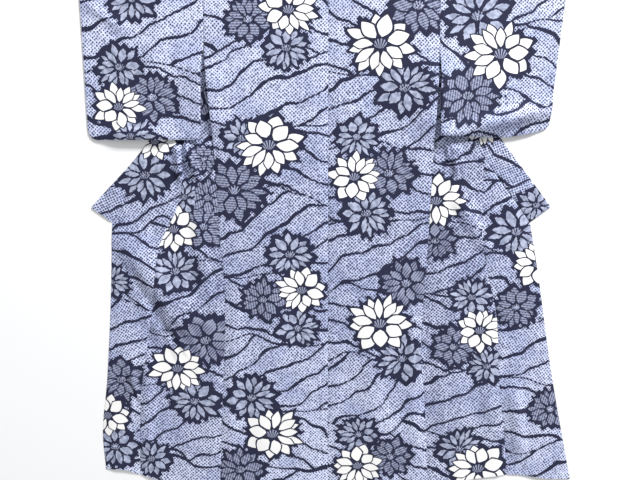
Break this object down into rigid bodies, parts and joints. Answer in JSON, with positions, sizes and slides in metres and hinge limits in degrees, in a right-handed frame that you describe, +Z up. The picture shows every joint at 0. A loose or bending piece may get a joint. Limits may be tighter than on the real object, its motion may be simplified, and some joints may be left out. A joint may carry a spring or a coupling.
{
  "type": "yukata kimono",
  "caption": "Cotton yukata kimono laid flat, back up, with square sleeves, fronts swung out beyond the side seams and a long doubled collar.",
  "frame": {"origin": "centre of the garment's box on the floor that it lies on", "axes": "+X across the garment towards its right sleeve as seen from above, +Y from the hem towards the neck, +Z up from the floor, out of the back"},
  "size_m": [1.383, 1.552, 0.02],
  "materials": {
    "printed_cotton": "matt plain-weave cotton, indigo print on white",
    "collar_cotton": "matt plain-weave cotton, doubled, indigo print on white"
  },
  "bodies": {
    "root": {"back_left": "printed_cotton", "back_right": "printed_cotton", "front_left": "printed_cotton", "front_right": "printed_cotton", "okumi_left": "printed_cotton", "okumi_right": "printed_cotton", "sleeve_left": "printed_cotton", "sleeve_right": "printed_cotton", "collar": "collar_cotton"}
  },
  "joints": []
}
